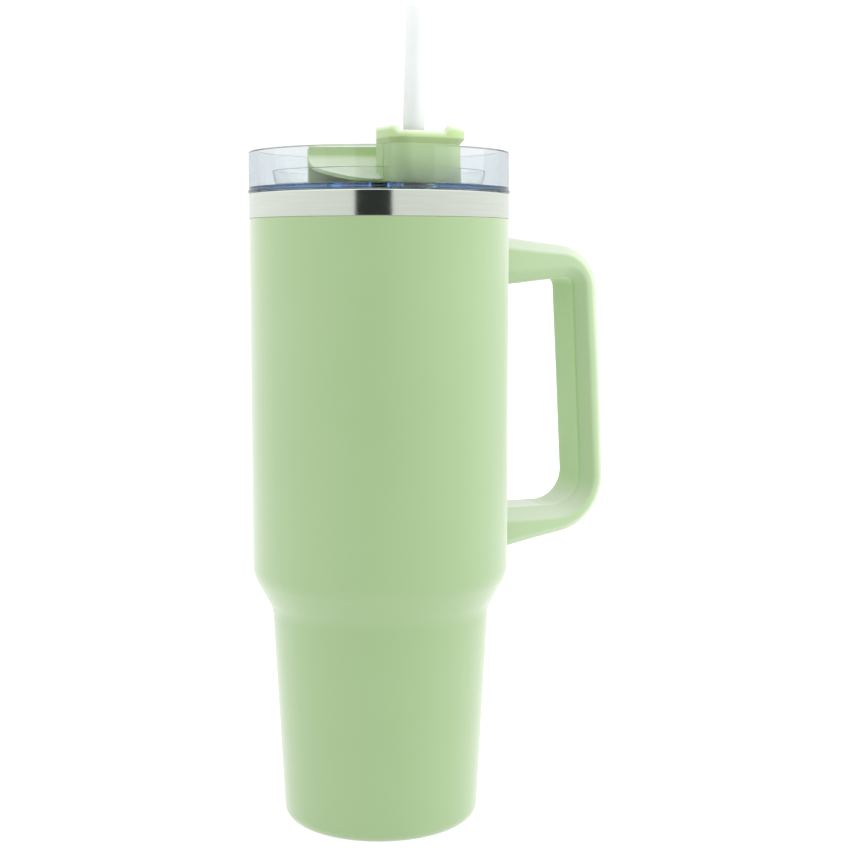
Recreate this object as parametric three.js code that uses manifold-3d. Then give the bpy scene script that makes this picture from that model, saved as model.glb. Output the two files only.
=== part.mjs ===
// Insulated travel mug: double-walled steel cup, D-handle, clear lid with a rotating cover, straw.
// Millimetres, +Z up. The origin is on the cup's axis, on the surface the mug stands on.
// The handle points along +X.

import * as THREE from 'three';
import { mergeVertices } from 'three/addons/utils/BufferGeometryUtils.js';
import Module from 'manifold-3d';

const wasm = await Module();
wasm.setup();

// ---- Driving dimensions ----

const GAP = 0.3;                 // clearance between neighbouring pieces
const OVERCUT = 2;               // how far a cutting shape runs past the face it opens
const ROUND_SIDES = 40;          // facets of a large round part
const SMALL_SIDES = 24;          // facets of a small round part
const ARC_STEP = Math.PI / 8;    // longest step of a rounded corner

// Cup
const CUP_RADIUS = 49;
const COAT_TOP = 231.1;
const RIM_TOP = 240.4;
const SHOULDER_TOP = 96.3;
const SHOULDER_FOOT = 83;
const NECK_RADIUS = 41.7;        // outside radius where the shoulder meets the lower wall
const BASE_RADIUS = 37.3;
const BASE_CORNER = 5;
const SHOULDER_FILLET = 12;
const SHELL_WALL = 1.2;
const FOOT_OPENING = 31.6;
const VACUUM_GAP = 2.4;
const LINER_WALL = 0.8;
const LINER_BOTTOM = 10.2;
const LINER_MOUTH_RADIUS = 45.6;
const LINER_SHOULDER_TOP = 99.5;
const LINER_SHOULDER_FOOT = 84.5;
const COLLAR_WALL = 0.8;

// Base
const BASE_CAP_HEIGHT = 1;
const BOTTOM_DISC_Z = 4.6;
const BOTTOM_DISC_SHEET = 1;
const EVACUATION_HOLE = 2;
const GETTER_RADIUS = 4;
const GETTER_HEIGHT = 2.1;
const GETTER_X = 18;

// Handle, drawn in the XZ plane
const HANDLE_WIDTH = 28;
const HANDLE_BEVEL = 3.2;
const HANDLE_ROOT_X = 44;
const HANDLE_TOP = { rootZ: 224.9, x: 85.4, z: 219.8, radius: 17 };
const HANDLE_HEEL = { rootZ: 103.9, x: 90.1, z: 112.9, radius: 22 };
const WINDOW_TOP = { rootZ: 206, x: 76.2, z: 209.4, radius: 3.5 };
const WINDOW_HEEL = { rootZ: 119.5, x: 80.7, z: 119.5, radius: 12 };
const GRIP_DEPTH = 1.8;
const GRIP_WIDTH = 19;
const GRIP_START_X = 65;
const BRACKET_FOOT = 1.2;
const BRACKET_TIP_X = 63;
const BRACKET_WIDTH = 14;
const BRACKET_FLANGE = 1.3;
const UPPER_BRACKET = { low: 211, high: 219, screwHead: 207.6 };
const LOWER_BRACKET = { low: 110.2, high: 116.6, screwHead: 107.1 };
const SCREW_X = 57.5;
const SCREW_RADIUS = 2;
const SCREW_HEAD_RADIUS = 3.6;
const SCREW_HEAD_HEIGHT = 1.9;
const SCREW_RECESS_RADIUS = 1.2;
const SCREW_RECESS_DEPTH = 1.1;

// Lid
const LID_TURN = THREE.MathUtils.degToRad(8);
const LID_FLANGE_RADIUS = 49.35;
const LID_FLANGE_TOP = 241.6;
const LID_TOP = 255.9;
const LID_FLOOR_TOP = 242.6;
const LID_FLOOR_BOTTOM = 240.8;
const RING_INNER = 45.9;
const TROUGH_OUTER = 45.6;
const BOWL_TOP = 248.6;
const BOWL_FOOT_RADIUS = 38.4;
const BOWL_RIM_RADIUS = 39.6;
const BOWL_WALL = 1.1;
const BOWL_RIM_WALL = 0.6;
const SKIRT_RADIUS = 45;
const SKIRT_INNER = 42;
const SKIRT_BOTTOM = 229;
const GROOVE_RADIUS = 43.6;
const GROOVE_LOW = 231.5;
const GROOVE_HIGH = 236.5;
const FLOOR_RIB = { inner: 12, outer: 13.2, bottom: 239.3 };
const GASKET_LIP = 45.25;

// Straw and its port
const STRAW_RADIUS = 3.9;
const STRAW_BORE = 2.6;
const STRAW_TOP = 306.5;
const STRAW_BOTTOM = 18;
const STRAW_LEAN = THREE.MathUtils.degToRad(1.66);
const PORT_RADIUS_FROM_AXIS = 26.8;
const PORT_HOLE = 7;
const GROMMET_BORE = 4.4;
const GROMMET_FLANGE = 8.7;
const GROMMET_FLANGE_HEIGHT = 1.1;

// Drink opening, an arc slot in the lid floor; angles run clockwise from the front
const SLOT_INNER = 14.5;
const SLOT_OUTER = 22.5;
const SLOT_MIDDLE = 170;
const SLOT_HALF_ANGLE = 25;

// Rotating cover
const DRUM_RADIUS = 27;
const DRUM_TOP = 257.2;
const COVER_BOTTOM = LID_FLOOR_TOP + GAP;
const COVER_WALL = 1.5;
const HUB_RADIUS = 5.8;
const RELIEF_RADIUS = 22.2;
const RELIEF_ANGLE = 120;
const SCOOP_HEADING = 28;        // clockwise from the front
const SCOOP_WALL_T = 7;
const SCOOP_SIDE = 2.2;
const SCOOP_SHEET = 1.3;
const HOOD_LEFT = 10.6;          // the hood reaches further to the right of the port than to its left
const HOOD_RIGHT = 17.8;
const HOOD_FRONT = 36.4;
const HOOD_LEFT_CORNER = 6;
const HOOD_RIGHT_CORNER = 8.5;
const HOOD_TOP = 261.9;
const HOOD_BACK = 19;
const LIP_LOW = 259.4;
const LIP_OVERHANG = 1.1;
const EAR_HEIGHT = 2;
const LEFT_EAR_X = -9.6;
const RIGHT_EAR_X = 9.2;
const STRAW_ROOM = 4.7;
const SEAL_PLATE_HEIGHT = 1.6;
const SEAL_THICKNESS = 1.1;
const SEAL_MARGIN = 1.4;
const SEAL_MARGIN_ANGLE = 6;

// Pivot
const PIN_RADIUS = 3;
const PIN_HEAD_RADIUS = 4.9;
const PIN_HEAD_HEIGHT = 1;
const PIN_END = 238.2;
const PIN_GROOVE_RADIUS = 2.3;
const PIN_GROOVE_LOW = 239.3;
const CLIP_RADIUS = 5.6;
const CLIP_MOUTH = 4;
const CLIP_HEIGHT = 0.9;

// ---- Solid helpers ----

/** Index a closed geometry by position, drop collapsed triangles and face it outwards. */
function weld(geometry) {
  geometry.deleteAttribute('normal');
  geometry.deleteAttribute('uv');
  const merged = mergeVertices(geometry, 1e-4);
  const positions = merged.attributes.position;
  const corners = [];
  let volume = 0;
  const a = new THREE.Vector3();
  const b = new THREE.Vector3();
  const c = new THREE.Vector3();
  for (let i = 0; i < merged.index.count; i += 3) {
    const [p, q, r] = [0, 1, 2].map((k) => merged.index.getX(i + k));
    if (p === q || q === r || r === p) continue;
    corners.push(p, q, r);
    a.fromBufferAttribute(positions, p);
    b.fromBufferAttribute(positions, q);
    c.fromBufferAttribute(positions, r);
    volume += a.dot(b.cross(c));
  }
  if (volume < 0) corners.reverse();
  return { vertProperties: new Float32Array(positions.array), triVerts: new Uint32Array(corners) };
}

function toSolid(geometry) {
  return new wasm.Manifold(new wasm.Mesh({ numProp: 3, ...weld(geometry) }));
}

function toGeometry(solid) {
  const mesh = solid.getMesh();
  const geometry = new THREE.BufferGeometry();
  geometry.setAttribute('position', new THREE.BufferAttribute(mesh.vertProperties, 3));
  geometry.setIndex(new THREE.BufferAttribute(mesh.triVerts, 1));
  geometry.computeVertexNormals();
  return geometry;
}

function join(...solids) {
  return solids.reduce((whole, piece) => whole.add(piece));
}

function cut(solid, ...tools) {
  return tools.reduce((rest, tool) => rest.subtract(tool), solid);
}

/** Points of a path whose corners [u, v, radius] are rounded; open ends keep radius 0. */
function rounded(corners) {
  const points = [];
  corners.forEach(([u, v, radius = 0], i) => {
    const corner = new THREE.Vector2(u, v);
    if (radius === 0) {
      points.push(corner);
      return;
    }
    const [u0, v0] = corners.at(i - 1);
    const [u1, v1] = corners[(i + 1) % corners.length];
    const back = new THREE.Vector2(u0, v0).sub(corner).normalize();
    const ahead = new THREE.Vector2(u1, v1).sub(corner).normalize();
    const half = Math.acos(THREE.MathUtils.clamp(back.dot(ahead), -1, 1)) / 2;
    const middle = back.clone().add(ahead).normalize();
    const centre = corner.clone().addScaledVector(middle, radius / Math.sin(half));
    const start = corner.clone().addScaledVector(back, radius / Math.tan(half)).sub(centre);
    const turn = Math.sign(ahead.cross(back)) * (Math.PI - 2 * half);
    const steps = Math.max(2, Math.ceil(Math.abs(turn) / ARC_STEP));
    for (let k = 0; k <= steps; k += 1) {
      const swing = start.clone().rotateAround(new THREE.Vector2(), (turn * k) / steps);
      points.push(swing.add(centre));
    }
  });
  return points;
}

/** Solid of revolution about Z from (radius, z) corners; off-axis profiles close on themselves. */
function revolve(corners, sides = ROUND_SIDES) {
  const points = rounded(corners);
  if (points[0].x > 0) points.push(points[0].clone());
  const geometry = new THREE.LatheGeometry(points, sides);
  geometry.rotateX(Math.PI / 2);
  return toSolid(geometry);
}

/** Prism of a closed XY outline between two heights. */
function prism(points, low, high) {
  const geometry = new THREE.ExtrudeGeometry(new THREE.Shape(points), {
    depth: high - low,
    bevelEnabled: false,
  });
  geometry.translate(0, 0, low);
  return toSolid(geometry);
}

function block(xLow, xHigh, yLow, yHigh, zLow, zHigh) {
  const geometry = new THREE.BoxGeometry(xHigh - xLow, yHigh - yLow, zHigh - zLow);
  geometry.translate((xLow + xHigh) / 2, (yLow + yHigh) / 2, (zLow + zHigh) / 2);
  return toSolid(geometry);
}

function rod(radius, low, high, x = 0, y = 0, sides = SMALL_SIDES) {
  const geometry = new THREE.CylinderGeometry(radius, radius, high - low, sides);
  geometry.rotateX(Math.PI / 2);
  geometry.translate(x, y, (low + high) / 2);
  return toSolid(geometry);
}

/** Point at a radius and an angle in degrees, clockwise from the front (-Y) as seen from above. */
function clockPoint(radius, degrees) {
  const angle = THREE.MathUtils.degToRad(degrees);
  return new THREE.Vector2(-radius * Math.sin(angle), -radius * Math.cos(angle));
}

/** Ring sector between two radii and two clockwise angles. */
function sector(inner, outer, from, to, low, high) {
  const steps = Math.ceil(Math.abs(to - from) / 7.5);
  const angles = Array.from({ length: steps + 1 }, (_, i) => from + ((to - from) * i) / steps);
  const rim = angles.map((angle) => clockPoint(outer, angle));
  const bore = inner > 0 ? angles.map((angle) => clockPoint(inner, angle)).reverse() : [clockPoint(0, 0)];
  return prism([...rim, ...bore], low, high);
}

// ---- Colours and finishes ----

const GREEN = 0xa5c38e;
const materials = {
  coat: { color: GREEN, roughness: 0.42, metalness: 0.1 },
  plastic: { color: GREEN, roughness: 0.5, metalness: 0 },
  grip: { color: 0x9dbe85, roughness: 0.7, metalness: 0 },
  steel: { color: 0xc9ccc6, roughness: 0.18, metalness: 1 },
  rawSteel: { color: 0xb4b6b3, roughness: 0.4, metalness: 1 },
  clear: { color: 0xdce8ee, roughness: 0.05, metalness: 0, transparent: true, opacity: 0.4 },
  straw: { color: 0xeef3f2, roughness: 0.25, metalness: 0, transparent: true, opacity: 0.6 },
  silicone: { color: 0xe6ebe6, roughness: 0.6, metalness: 0 },
  getter: { color: 0x5b5d60, roughness: 0.8, metalness: 0.3 },
};

function piece(name, solid, finish) {
  const mesh = new THREE.Mesh(toGeometry(solid), new THREE.MeshStandardMaterial(materials[finish]));
  mesh.name = name;
  return mesh;
}

// ---- Cup ----

function outerShell() {
  const inner = CUP_RADIUS - SHELL_WALL;
  return revolve([
    [FOOT_OPENING, 0],
    [BASE_RADIUS, 0, BASE_CORNER],
    [NECK_RADIUS, SHOULDER_FOOT, SHOULDER_FILLET],
    [CUP_RADIUS, SHOULDER_TOP, SHOULDER_FILLET],
    [CUP_RADIUS, COAT_TOP],
    [inner, COAT_TOP],
    [inner, SHOULDER_TOP + GAP, SHOULDER_FILLET + SHELL_WALL],
    [NECK_RADIUS - SHELL_WALL, SHOULDER_FOOT + GAP, SHOULDER_FILLET - SHELL_WALL],
    [BASE_RADIUS - SHELL_WALL, SHELL_WALL, BASE_CORNER - SHELL_WALL],
    [FOOT_OPENING, SHELL_WALL],
  ]);
}

/** Inner cup whose mouth rolls over and down outside as the bare collar. */
function innerLiner() {
  const outerMouth = LINER_MOUTH_RADIUS + LINER_WALL;
  const stepIn = SHELL_WALL + VACUUM_GAP;
  const floorRadius = BASE_RADIUS - stepIn + COLLAR_WALL;
  const collarInner = CUP_RADIUS - COLLAR_WALL;
  const rimInside = RIM_TOP - LINER_WALL;
  return revolve([
    [0, LINER_BOTTOM],
    [floorRadius, LINER_BOTTOM, 7],
    [NECK_RADIUS - stepIn, LINER_SHOULDER_FOOT, SHOULDER_FILLET],
    [outerMouth, LINER_SHOULDER_TOP, SHOULDER_FILLET],
    [outerMouth, rimInside],
    [collarInner, rimInside],
    [collarInner, COAT_TOP + GAP],
    [CUP_RADIUS, COAT_TOP + GAP],
    [CUP_RADIUS, RIM_TOP, 0.5],
    [LINER_MOUTH_RADIUS, RIM_TOP, 1.2],
    [LINER_MOUTH_RADIUS, LINER_SHOULDER_TOP + GAP, SHOULDER_FILLET + LINER_WALL],
    [NECK_RADIUS - stepIn - LINER_WALL, LINER_SHOULDER_FOOT + GAP, SHOULDER_FILLET - LINER_WALL],
    [floorRadius - LINER_WALL, LINER_BOTTOM + LINER_WALL, 6.2],
    [0, LINER_BOTTOM + LINER_WALL],
  ]);
}

function baseCap() {
  const radius = FOOT_OPENING - GAP;
  return revolve([
    [0, 0],
    [radius, 0],
    [radius, BASE_CAP_HEIGHT],
    [0, BASE_CAP_HEIGHT],
  ]);
}

/** Dished disc with the evacuation hole in its middle. */
function outerBottom() {
  const flat = FOOT_OPENING + GAP;
  const edge = BASE_RADIUS - SHELL_WALL - GAP;
  const rise = 1.8;
  return revolve([
    [EVACUATION_HOLE, BOTTOM_DISC_Z],
    [flat, BOTTOM_DISC_Z],
    [edge, BOTTOM_DISC_Z + rise],
    [edge, BOTTOM_DISC_Z + rise + BOTTOM_DISC_SHEET],
    [flat, BOTTOM_DISC_Z + BOTTOM_DISC_SHEET],
    [EVACUATION_HOLE, BOTTOM_DISC_Z + BOTTOM_DISC_SHEET],
  ]);
}

function vacuumSeal() {
  const stem = EVACUATION_HOLE - GAP;
  const capRadius = 4.5;
  const capTop = BOTTOM_DISC_Z - GAP;
  const capBottom = capTop - 0.8;
  const stemTop = BOTTOM_DISC_Z + BOTTOM_DISC_SHEET + GAP;
  return revolve([
    [0, capBottom],
    [capRadius, capBottom],
    [capRadius, capTop],
    [stem, capTop],
    [stem, stemTop],
    [0, stemTop],
  ], SMALL_SIDES);
}

function getter() {
  const low = BOTTOM_DISC_Z + BOTTOM_DISC_SHEET + GAP;
  return rod(GETTER_RADIUS, low, low + GETTER_HEIGHT, GETTER_X);
}

// ---- Handle ----

/** Place a solid drawn as (x, z) and extruded to either side of y = 0. */
function acrossY(points, width, bevel = 0) {
  const geometry = new THREE.ExtrudeGeometry(new THREE.Shape(points), {
    depth: width - 2 * bevel,
    bevelEnabled: bevel > 0,
    bevelThickness: bevel,
    bevelSize: bevel,
    bevelOffset: -bevel,
    bevelSegments: 2,
  });
  geometry.translate(0, 0, bevel - width / 2);
  geometry.rotateX(Math.PI / 2);
  return toSolid(geometry);
}

function handleOutline() {
  return rounded([
    [HANDLE_ROOT_X, HANDLE_TOP.rootZ],
    [HANDLE_TOP.x, HANDLE_TOP.z, HANDLE_TOP.radius],
    [HANDLE_HEEL.x, HANDLE_HEEL.z, HANDLE_HEEL.radius],
    [HANDLE_ROOT_X, HANDLE_HEEL.rootZ],
    [HANDLE_ROOT_X, WINDOW_HEEL.rootZ],
    [WINDOW_HEEL.x, WINDOW_HEEL.z, WINDOW_HEEL.radius],
    [WINDOW_TOP.x, WINDOW_TOP.z, WINDOW_TOP.radius],
    [HANDLE_ROOT_X, WINDOW_TOP.rootZ],
  ]);
}

/** Strip along the finger side of the window, from one depth inside the frame to another. */
function gripStrip(inner, outer, width, startX) {
  const rise = (WINDOW_TOP.z - WINDOW_TOP.rootZ) / (WINDOW_TOP.x - HANDLE_ROOT_X);
  const ceiling = WINDOW_TOP.rootZ + rise * (startX - HANDLE_ROOT_X);
  const run = (depth) => rounded([
    [startX, ceiling + depth],
    [WINDOW_TOP.x + depth, WINDOW_TOP.z + depth, WINDOW_TOP.radius + depth],
    [WINDOW_HEEL.x + depth, WINDOW_HEEL.z - depth, WINDOW_HEEL.radius + depth],
    [startX, WINDOW_HEEL.z - depth],
  ]);
  return acrossY([...run(inner), ...run(outer).reverse()], width);
}

/** Lug whose foot lies against the outer shell; growth enlarges it all round. */
function bracket({ low, high }, growth = 0) {
  const half = BRACKET_WIDTH / 2 + growth;
  const footLow = low - BRACKET_FLANGE - growth;
  const footHigh = high + BRACKET_FLANGE + growth;
  const footHalf = half + BRACKET_FLANGE;
  const footOuter = CUP_RADIUS + GAP + BRACKET_FOOT + growth;
  const foot = rod(footOuter, footLow, footHigh, 0, 0, ROUND_SIDES)
    .intersect(block(HANDLE_ROOT_X, footOuter, -footHalf, footHalf, footLow, footHigh));
  const tongue = block(HANDLE_ROOT_X, BRACKET_TIP_X + growth, -half, half, low - growth, high + growth);
  const core = rod(CUP_RADIUS + GAP - 2 * growth, footLow - 1, footHigh + 1, 0, 0, ROUND_SIDES);
  return cut(join(foot, tongue), core);
}

/** Screw driven upwards; growth enlarges its shank and head. */
function screwShape({ high, screwHead }, growth = 0) {
  const neck = screwHead + SCREW_HEAD_HEIGHT + growth;
  const headLow = growth > 0 ? screwHead - 2 * OVERCUT : screwHead;
  return join(
    rod(SCREW_HEAD_RADIUS + growth, headLow, neck, SCREW_X),
    rod(SCREW_RADIUS + growth, neck - OVERCUT / 2, high - OVERCUT + growth, SCREW_X),
  );
}

function screw(place) {
  const recess = rod(
    SCREW_RECESS_RADIUS, place.screwHead - OVERCUT, place.screwHead + SCREW_RECESS_DEPTH, SCREW_X, 0, 6,
  );
  return cut(screwShape(place), recess);
}

function handleFrame() {
  const body = acrossY(handleOutline(), HANDLE_WIDTH, HANDLE_BEVEL);
  const cup = rod(CUP_RADIUS + GAP, 0, RIM_TOP, 0, 0, ROUND_SIDES);
  const gripRoom = gripStrip(-OVERCUT / 2, GRIP_DEPTH + GAP, GRIP_WIDTH + 2 * GAP, GRIP_START_X - GAP);
  return cut(
    body,
    cup,
    gripRoom,
    bracket(UPPER_BRACKET, GAP),
    bracket(LOWER_BRACKET, GAP),
    screwShape(UPPER_BRACKET, GAP),
    screwShape(LOWER_BRACKET, GAP),
  );
}

function handleBracket(place) {
  return cut(bracket(place), screwShape(place, GAP));
}

// ---- Lid ----

function lidBody() {
  const shape = revolve([
    [0, LID_FLOOR_TOP],
    [BOWL_FOOT_RADIUS, LID_FLOOR_TOP],
    [BOWL_RIM_RADIUS, BOWL_TOP],
    [BOWL_RIM_RADIUS + BOWL_RIM_WALL, BOWL_TOP],
    [BOWL_FOOT_RADIUS + BOWL_WALL, LID_FLOOR_TOP],
    [TROUGH_OUTER, LID_FLOOR_TOP],
    [RING_INNER, LID_TOP, 0.5],
    [CUP_RADIUS, LID_TOP, 0.5],
    [CUP_RADIUS, LID_FLANGE_TOP],
    [LID_FLANGE_RADIUS, LID_FLANGE_TOP],
    [LID_FLANGE_RADIUS, RIM_TOP + GAP],
    [SKIRT_RADIUS, RIM_TOP + GAP],
    [SKIRT_RADIUS, GROOVE_HIGH],
    [GROOVE_RADIUS, GROOVE_HIGH],
    [GROOVE_RADIUS, GROOVE_LOW],
    [SKIRT_RADIUS, GROOVE_LOW],
    [SKIRT_RADIUS, SKIRT_BOTTOM],
    [SKIRT_INNER, SKIRT_BOTTOM],
    [SKIRT_INNER, LID_FLOOR_BOTTOM],
    [FLOOR_RIB.outer, LID_FLOOR_BOTTOM],
    [FLOOR_RIB.outer, FLOOR_RIB.bottom],
    [FLOOR_RIB.inner, FLOOR_RIB.bottom],
    [FLOOR_RIB.inner, LID_FLOOR_BOTTOM],
    [0, LID_FLOOR_BOTTOM],
  ]);
  const low = LID_FLOOR_BOTTOM - OVERCUT;
  const high = LID_FLOOR_TOP + OVERCUT;
  const slot = sector(
    SLOT_INNER, SLOT_OUTER, SLOT_MIDDLE - SLOT_HALF_ANGLE, SLOT_MIDDLE + SLOT_HALF_ANGLE, low, high,
  );
  const port = rod(PORT_HOLE, low, high, 0, -PORT_RADIUS_FROM_AXIS);
  return cut(shape, slot, port, rod(PIN_RADIUS + GAP, low, high));
}

/** Gasket in the skirt's groove, with a lip near each edge. */
function lidGasket() {
  const root = GROOVE_RADIUS + GAP;
  const low = GROOVE_LOW + GAP;
  const high = GROOVE_HIGH - GAP;
  const waist = root + 0.7;
  const lip = 0.8;
  return revolve([
    [root, low],
    [waist + GAP, low],
    [GASKET_LIP, low + lip],
    [waist, low + 2 * lip],
    [waist, high - 2 * lip],
    [GASKET_LIP, high - lip],
    [waist + GAP, high],
    [root, high],
  ]);
}

function strawGrommet() {
  const top = LID_FLOOR_TOP;
  const shelf = LID_FLOOR_BOTTOM - GAP;
  const low = shelf - GROMMET_FLANGE_HEIGHT;
  const body = PORT_HOLE - GAP;
  return revolve([
    [GROMMET_BORE, low],
    [GROMMET_FLANGE, low],
    [GROMMET_FLANGE, shelf],
    [body, shelf],
    [body, top],
    [GROMMET_BORE, top],
  ], SMALL_SIDES).translate([0, -PORT_RADIUS_FROM_AXIS, 0]);
}

function pivotPin() {
  const headLow = DRUM_TOP - GAP / 2 - PIN_HEAD_HEIGHT;
  const grooveHigh = LID_FLOOR_BOTTOM - GAP / 2;
  return revolve([
    [0, PIN_END],
    [PIN_RADIUS, PIN_END],
    [PIN_RADIUS, PIN_GROOVE_LOW],
    [PIN_GROOVE_RADIUS, PIN_GROOVE_LOW],
    [PIN_GROOVE_RADIUS, grooveHigh],
    [PIN_RADIUS, grooveHigh],
    [PIN_RADIUS, headLow],
    [PIN_HEAD_RADIUS, headLow],
    [PIN_HEAD_RADIUS, headLow + PIN_HEAD_HEIGHT],
    [0, headLow + PIN_HEAD_HEIGHT],
  ], SMALL_SIDES);
}

/** Open ring that snaps into the pin's groove from the side. */
function pivotClip() {
  const low = PIN_GROOVE_LOW + GAP / 2;
  const ring = cut(
    rod(CLIP_RADIUS, low, low + CLIP_HEIGHT),
    rod(PIN_GROOVE_RADIUS + GAP, low - OVERCUT, low + OVERCUT),
  );
  const mouth = block(0, CLIP_RADIUS + OVERCUT, -CLIP_MOUTH / 2, CLIP_MOUTH / 2, low - 1, low + OVERCUT);
  return cut(ring, mouth);
}

// ---- Rotating cover ----

/** Prism of an outline in (distance along the scoop's heading, height), run sideways. */
function alongScoop(points, from, to) {
  const heading = clockPoint(1, SCOOP_HEADING);
  const forward = new THREE.Vector3(heading.x, heading.y, 0);
  const up = new THREE.Vector3(0, 0, 1);
  const left = new THREE.Vector3().crossVectors(forward, up);
  const geometry = new THREE.ExtrudeGeometry(new THREE.Shape(points), {
    depth: to - from,
    bevelEnabled: false,
  });
  geometry.translate(0, 0, from);
  geometry.applyMatrix4(new THREE.Matrix4().makeBasis(forward, up, left));
  return toSolid(geometry);
}

/** Surface of the scoop: steep at its back wall, then an easy slope to the drum's edge. */
function scoopSlope(drop) {
  return new THREE.CubicBezierCurve(
    new THREE.Vector2(SCOOP_WALL_T, 254.4 - drop),
    new THREE.Vector2(8.5, 248.8 - drop),
    new THREE.Vector2(19, 249.8 - drop),
    new THREE.Vector2(27.6, 244.4 - drop),
  ).getPoints(8);
}

function scoopAbove() {
  const beyond = DRUM_RADIUS + 10;
  const sky = DRUM_TOP + OVERCUT;
  const slope = scoopSlope(0);
  const points = [
    new THREE.Vector2(SCOOP_WALL_T, sky),
    ...slope,
    new THREE.Vector2(beyond, slope.at(-1).y),
    new THREE.Vector2(beyond, sky),
  ];
  return alongScoop(points, -SCOOP_SIDE, beyond);
}

/** Room under the scoop sheet, open at the bottom and at the drum's edge. */
function scoopBelow() {
  const beyond = DRUM_RADIUS + 10;
  const ground = COVER_BOTTOM - OVERCUT;
  const slope = scoopSlope(SCOOP_SHEET).filter((point) => point.y > COVER_BOTTOM);
  const points = [
    new THREE.Vector2(SCOOP_WALL_T + GAP, ground),
    ...slope.map((point) => point.setX(Math.max(point.x, SCOOP_WALL_T + GAP))),
    new THREE.Vector2(beyond, slope.at(-1).y),
    new THREE.Vector2(beyond, ground),
  ];
  return alongScoop(points, COVER_WALL - SCOOP_SIDE, beyond);
}

/** Drum whose right side is drawn in to pass the straw; inset shrinks it on the sides. */
function drum(inset, low, high) {
  const full = rod(DRUM_RADIUS - inset, low, high, 0, 0, ROUND_SIDES);
  const margin = THREE.MathUtils.radToDeg(inset / RELIEF_RADIUS);
  const relief = sector(
    RELIEF_RADIUS - inset, DRUM_RADIUS + OVERCUT, -RELIEF_ANGLE - margin, 10 + margin, low - 1, high + 1,
  );
  return cut(full, relief);
}

function hoodOutline(inset) {
  const left = inset - HOOD_LEFT;
  const right = HOOD_RIGHT - inset;
  const front = HOOD_FRONT - inset;
  return rounded([
    [left, -HOOD_BACK],
    [left, -front, HOOD_LEFT_CORNER - inset],
    [right, -front, HOOD_RIGHT_CORNER - inset],
    [right, -HOOD_BACK],
  ]);
}

/** Hood wall: left side, front and right corner; open on the right for the straw to pass. */
function hoodWall(outset, low, high) {
  const behind = block(COVER_WALL - HOOD_LEFT, HOOD_RIGHT - COVER_WALL, -HOOD_BACK - 1, 0, low - 1, high + 1);
  const ring = cut(
    prism(hoodOutline(-outset), low, high),
    prism(hoodOutline(COVER_WALL), low - 1, high + 1),
    behind,
  );
  const rightSide = block(0, DRUM_RADIUS, HOOD_RIGHT_CORNER - HOOD_FRONT, 0, low - 1, high + 1);
  return cut(ring, rightSide);
}

/** Raised ends of the hood's lip. */
function hoodEars() {
  const high = HOOD_TOP + EAR_HEIGHT;
  const wall = hoodWall(LIP_OVERHANG, HOOD_TOP - 1, high);
  const dip = block(LEFT_EAR_X, RIGHT_EAR_X, -HOOD_FRONT - OVERCUT, 0, HOOD_TOP, high + 1);
  return cut(wall, dip);
}

/** Floor between the drum and the hood, left of the straw. */
function hoodFloor() {
  const top = COVER_BOTTOM + SEAL_PLATE_HEIGHT;
  const right = block(0, DRUM_RADIUS, -HOOD_FRONT - 1, 0, COVER_BOTTOM - 1, top + 1);
  const straw = rod(STRAW_ROOM, COVER_BOTTOM - 1, top + 1, 0, -PORT_RADIUS_FROM_AXIS);
  return cut(prism(hoodOutline(0), COVER_BOTTOM, top), right, straw);
}

function rotatingCover() {
  const below = COVER_BOTTOM - OVERCUT;
  const plateLow = DRUM_TOP - COVER_WALL;
  const insideHood = prism(hoodOutline(0), below - 1, HOOD_TOP);
  const shell = cut(
    drum(0, COVER_BOTTOM, DRUM_TOP),
    cut(
      drum(COVER_WALL, below, plateLow),
      rod(HUB_RADIUS, below, plateLow),
      alongScoop([
        new THREE.Vector2(SCOOP_WALL_T - COVER_WALL, below),
        new THREE.Vector2(DRUM_RADIUS, below),
        new THREE.Vector2(DRUM_RADIUS, plateLow),
        new THREE.Vector2(SCOOP_WALL_T - COVER_WALL, plateLow),
      ], -SCOOP_SIDE - COVER_WALL, DRUM_RADIUS),
    ),
    cut(scoopAbove(), insideHood),
    cut(scoopBelow(), insideHood),
  );
  const strawRoom = join(
    rod(STRAW_ROOM, below, HOOD_TOP, 0, -PORT_RADIUS_FROM_AXIS),
    sector(RELIEF_RADIUS, HOOD_FRONT - COVER_WALL, -RELIEF_ANGLE, 0, below, HOOD_TOP - 1),
  );
  const hood = join(
    hoodWall(0, COVER_BOTTOM, HOOD_TOP),
    hoodWall(LIP_OVERHANG, LIP_LOW, HOOD_TOP),
    hoodEars(),
    hoodFloor(),
  );
  const sealPlate = sector(
    HUB_RADIUS - GAP, DRUM_RADIUS - GAP,
    SLOT_MIDDLE - SLOT_HALF_ANGLE - SEAL_MARGIN_ANGLE, SLOT_MIDDLE + SLOT_HALF_ANGLE + SEAL_MARGIN_ANGLE,
    COVER_BOTTOM + SEAL_THICKNESS + GAP, COVER_BOTTOM + SEAL_THICKNESS + GAP + SEAL_PLATE_HEIGHT,
  );
  const bore = rod(PIN_RADIUS + GAP, below, DRUM_TOP + 1);
  const headRoom = rod(PIN_HEAD_RADIUS + GAP, plateLow, DRUM_TOP + 1);
  return cut(join(cut(shell, strawRoom), hood, sealPlate), bore, headRoom);
}

function drinkSeal() {
  return sector(
    SLOT_INNER - SEAL_MARGIN, SLOT_OUTER + SEAL_MARGIN,
    SLOT_MIDDLE - SLOT_HALF_ANGLE - SEAL_MARGIN_ANGLE, SLOT_MIDDLE + SLOT_HALF_ANGLE + SEAL_MARGIN_ANGLE,
    COVER_BOTTOM, COVER_BOTTOM + SEAL_THICKNESS,
  );
}

// ---- Straw ----

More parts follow.
